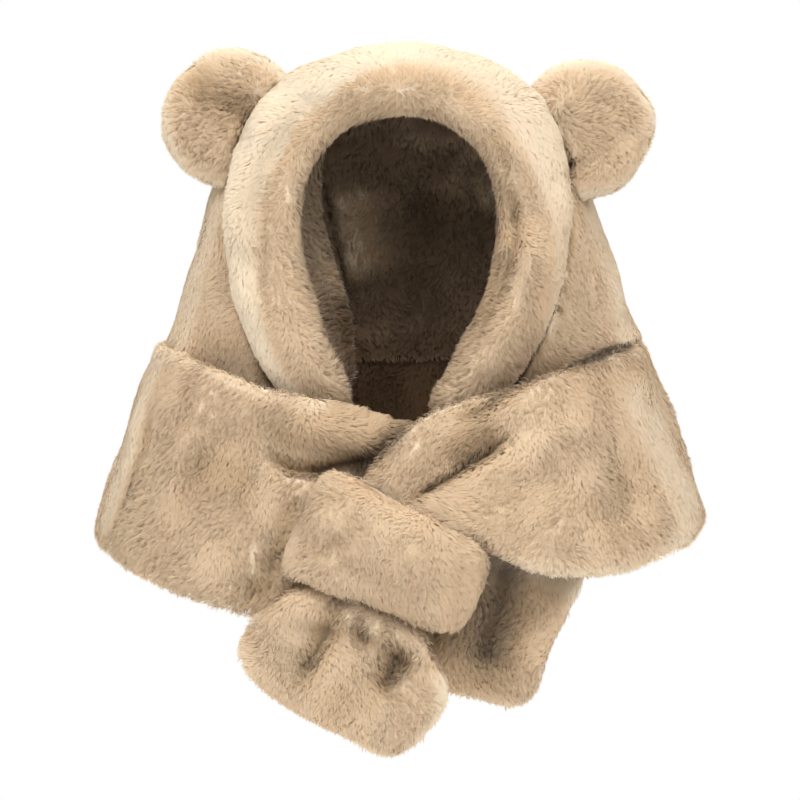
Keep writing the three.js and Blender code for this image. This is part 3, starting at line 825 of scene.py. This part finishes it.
scarfPile = dict(pile, seed=41, gather=(0.05, 0.35), heap=0.0004)
scarfBackPile = dict(pile, perSquareMm=0.85, width=0.0007, lockArea=1.2e-5, seed=42)
scarfPlaces = {
    "split": -0.01,             # x between its left and right piles
    "back": 0.02,               # y from which it has the back pile
    "backTilt": 0.25,
    "sideways": -0.02,          # y from which its pile leans outwards
    "tail": (-0.125, -0.325),   # the tail is nearer and lower
}
scarfArrows = [
    (-177, -271, -0.8, -0.6, 18), (-158, -209, -0.9, -0.5, 16), (-130, -200, -0.4, -0.8, 20),
    (-93, -240, 0.05, -1, 25), (-124, -258, -0.15, -1, 25), (-149, -308, -0.6, -0.7, 20),
    (-112, -324, -0.5, -0.8, 20), (-37, -213, 0.7, 0.4, 10), (-43, -226, 0.8, -0.3, 12),
    (-8, -226, 0.9, 0.2, 12), (-50, -241, 0.4, -0.9, 9), (-74, -290, 0, -1, 20),
    (12, -244, -0.65, -0.75, 13), (37, -228, -0.7, -0.7, 13), (62, -240, -0.7, -0.6, 12),
    (31, -278, -1, 0.1, 16), (74, -283, -0.9, -0.35, 20), (74, -226, -0.35, -0.95, 12),
    (124, -228, 0.3, -0.9, 25), (155, -271, 0.6, -0.8, 25), (99, -308, 0.1, -1, 16),
    (182, -292, 0.8, -0.5, 15),
]
tailArrows = [
    (-96, -358, -0.9, 0.1, 12), (-86, -338, -0.8, 0.2, 10), (-62, -370, -0.2, -1, 10),
    (-37, -364, 0.3, -0.9, 10), (-12, -389, 0.4, -0.8, 12), (14, -382, 0.8, -0.5, 12),
    (-50, -402, -0.3, -1, 14), (0, -417, 0.4, -0.9, 12),
]
# negative amounts here and in the strokes below brush the pile flat and lift its colour, mostly along the
# scarf's edges: partly brushed pile, partly painted highlight
scarfSides = [
    {"line": [(-155, -178), (-170, -228), (-186, -283)], "width": 9, "blunt": 1, "amount": -1.3,
     "nearerThan": 30, "fade": 60},
    {"line": [(150, -205), (182, -270), (178, -300)], "width": 18, "blunt": 1, "amount": -1.1,
     "nearerThan": 30, "fade": 60},
]
scarfStrokes = [
    *scarfSides,
    {"line": [(-151, -174), (-115, -189), (-79, -206), (-50, -212)], "width": 7, "blunt": 1, "amount": -1.1},
    {"line": [(-130, -212), (-62, -224)], "width": 15, "blunt": 0.5, "amount": 0.4},
    {"line": [(-140, -290), (-100, -305)], "width": 20, "blunt": 0.5, "amount": 0.3},
    {"line": [(41, -250), (89, -224), (110, -214)], "width": 10, "blunt": 1, "amount": -0.3},
    {"line": [(60, -308), (110, -317), (170, -308)], "width": 12, "blunt": 1, "amount": -1.1},
    {"line": [(-98, -350), (-86, -388), (-50, -408), (0, -427), (22, -402), (26, -368)],
     "width": 8, "blunt": 1, "amount": -1.3, "nearerThan": -125},
    {"line": [(112, -325), (97, -378), (76, -399), (40, -388)],
     "width": 8, "blunt": 1, "amount": -1.3, "fartherThan": -125},
    {"line": [(-80, -360), (0, -380)], "width": 18, "blunt": 1, "amount": 0.3, "nearerThan": -125},
]


def scarfFlow(points, normals):
    course = flowFrom(points, (-0.2, 0, -0.6), scarfArrows)
    tail = flowFrom(points, (-0.1, 0, -0.8), tailArrows)
    isTail = np.all(points[:, 1:] < scarfPlaces["tail"], axis=1)
    course[:, 0] += np.where(points[:, 1] > scarfPlaces["sideways"], points[:, 0] * 2, 0)
    return np.where(isTail[:, None], tail, course)


def scarfRuffle(points, normals):
    return strokesOver(points, scarfStrokes)


def scarfSideRuffle(points, normals):
    return strokesOver(points, scarfSides)


def isScarfFront(points, normals):
    return (normals[:, 1] < scarfPlaces["backTilt"]) & (points[:, 1] < scarfPlaces["back"])


def scarfLeft(points, normals, room):
    half = isScarfFront(points, normals) & (points[:, 0] < scarfPlaces["split"])
    return np.where(half, frontShare(points, normals, room), 0)


def scarfRight(points, normals, room):
    half = isScarfFront(points, normals) & (points[:, 0] >= scarfPlaces["split"])
    return np.where(half, frontShare(points, normals, room), 0)


def scarfBack(points, normals, room):
    return np.where(isScarfFront(points, normals), 0, frontShare(points, normals, room))


scarfPlush = [
    pileOn("scarfLeftPile", "scarf", scarfPile, scarfFlow, scarfLeft, scarfRuffle),
    pileOn("scarfRightPile", "scarf", dict(scarfPile, seed=43), scarfFlow, scarfRight, scarfRuffle),
    pileOn("scarfBackPile", "scarf", scarfBackPile, scarfFlow, scarfBack, scarfSideRuffle),
]

# Keeper

keeperPile = dict(pile, seed=51)
keeperArrows = [
    (-46, -264, -0.7, 0.4, 10), (-52, -290, -0.5, -0.85, 14), (-58, -311, -0.6, -0.7, 12),
    (-19, -296, -0.1, -1, 14), (-6, -320, 0.3, -0.95, 14), (31, -320, 0.6, -0.7, 16),
    (37, -290, 0.8, -0.2, 14), (0, -268, -0.6, -0.3, 12),
]
# negative amounts brush the pile flat and lift its colour: partly brushed pile, partly painted highlight
keeperStrokes = [
    {"line": [(24, -285), (34, -325)], "width": 22, "blunt": 1, "amount": -0.45},
    {"line": [(-50, -258), (-66, -305)], "width": 7, "blunt": 1, "amount": -0.6},
    {"line": [(-36, -280), (-34, -310)], "width": 14, "blunt": 1, "amount": 0.4},
]


def keeperFlow(points, normals):
    return flowFrom(points, (-0.2, 0, -0.8), keeperArrows)


def keeperRuffle(points, normals):
    return strokesOver(points, keeperStrokes)


keeperPlush = pileOn("keeperPile", "keeper", keeperPile, keeperFlow, frontShare, keeperRuffle)


# Finishes

plushColours = {
    "root": (0.58, 0.43, 0.29, 1),
    "middle": (0.77, 0.62, 0.45, 1),
    "tip": (0.88, 0.74, 0.55, 1),
    "tan": (0.84, 0.75, 0.66, 1),
    "paintedHighlight": (0.98, 0.92, 0.77, 1),
    "paintedHalfShade": (0.92, 0.75, 0.55, 1),
    "through": (0.88, 0.77, 0.62, 1),
    "unlit": (0.085, 0.058, 0.036, 1),
    "backing": [(0.82, 0.67, 0.49, 1), (0.92, 0.78, 0.60, 1)],
}
plushLook = {
    "smoothAt": 0.9, "smoothShare": 0.85,       # smooth pile has nearly the colour of the tips
    "strand": 0.4, "lock": 0.3,
    "patchScale": 28.0, "patchShare": 0.5,
    "paintedHighlightFrom": 0.4, "paintedHighlightShare": 0.9,
    "paintedHalfShadeShare": 2.4,
    "through": 0.55,
    "roughness": 0.85, "shine": 0.2,
    "sheen": 0.14, "sheenTint": (1.0, 0.93, 0.82, 1),
}
backingLook = {
    "mottleScale": 140.0, "knotScale": 900.0, "knotStrength": 0.6, "roughness": 0.9, "shine": 0.15,
}


def attributeOf(wire, name):
    return wire.add("ShaderNodeAttribute", {"attribute_name": name}, out="Fac")


def plushMaterial(name):
    material, wire, place = newMaterial(name)
    look, colours = plushLook, plushColours
    along = attributeOf(wire, "along")
    strand = attributeOf(wire, "strand")
    lock = attributeOf(wire, "lock")
    smooth = (1 - attributeOf(wire, "tousled")).clamped()
    ripe = along + smooth * (look["smoothAt"] - along) * look["smoothShare"]
    ripe = (ripe + (strand - 0.5) * look["strand"] + (lock - 0.5) * look["lock"]).clamped()
    stops = [(0.0, colours["root"]), (0.5, colours["middle"]), (1.0, colours["tip"])]
    colour = wire.add("ShaderNodeValToRGB", {"stops": stops}, {"Fac": ripe}, "Color")
    patches = (place.noise(look["patchScale"], 3.0) * 1.6 - 0.45).clamped()
    colour = (patches * look["patchShare"]).mix(colour, colours["tan"], "MULTIPLY")
    # partly brushed pile, partly painted highlight: where the pile is brushed flat, mostly along edges and
    # the rim's outer roll, its colour is lifted to a paler tone
    brushed = (attributeOf(wire, "brushed") - look["paintedHighlightFrom"]).clamped()
    colour = (brushed * look["paintedHighlightShare"]).mix(colour, colours["paintedHighlight"])
    # painted shade: browner where the pile is half in shade, near black where it sees little, and less light
    # passes it there
    lit = attributeOf(wire, "lit").clamped()
    colour = (lit * (1 - lit) * look["paintedHalfShadeShare"]).mix(colour, colours["paintedHalfShade"], "MULTIPLY")
    colour = (1 - lit).mix(colour, colours["unlit"], "MULTIPLY")
    finishMaterial(wire, {
        "Base Color": colour, "Roughness": look["roughness"], "Specular IOR Level": look["shine"],
        "Sheen Weight": look["sheen"], "Sheen Roughness": 0.5, "Sheen Tint": look["sheenTint"],
    }, (lit * look["through"], colours["through"]))
    return material


def backingMaterial(name):
    material, wire, place = newMaterial(name)
    mottled = (place.noise(backingLook["mottleScale"], 4.0, 0.6) * 1.5 - 0.25).clamped()
    colour = mottled.mix(*plushColours["backing"])
    # painted shade: the backing is darkened where it sees little
    unlit = (1 - attributeOf(wire, "lit")).clamped()
    colour = unlit.mix(colour, plushColours["unlit"], "MULTIPLY")
    knots = place.noise(backingLook["knotScale"])
    bumpValues = {"Strength": backingLook["knotStrength"], "Distance": 0.001, "Height": knots}
    bump = wire.add("ShaderNodeBump", values=bumpValues)
    finishMaterial(wire, {
        "Base Color": colour, "Roughness": backingLook["roughness"],
        "Specular IOR Level": backingLook["shine"], "Normal": bump,
    })
    return material


plush = plushMaterial("plush pile")
backing = backingMaterial("pile backing")
piles = {
    "hood": [hoodOutside, hoodInside],
    "face_rim": [rimPlush],
    "ear_left": [leftEarPlush],
    "ear_right": [rightEarPlush],
    "scarf": scarfPlush,
    "keeper": [keeperPlush],
}
for node, core in cores.items():
    core.data.materials.append(backing)
    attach(core, "root")
    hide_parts(node)
    for fur in piles[node]:
        fur.data.materials.append(plush)
        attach(fur, "root")
print("finishes")

# Triangles in all

added = 0
for piece in [*cores.values(), *sum(piles.values(), [])]:
    piece.data.calc_loop_triangles()
    added += len(piece.data.loop_triangles)
print("triangles in all:", added)
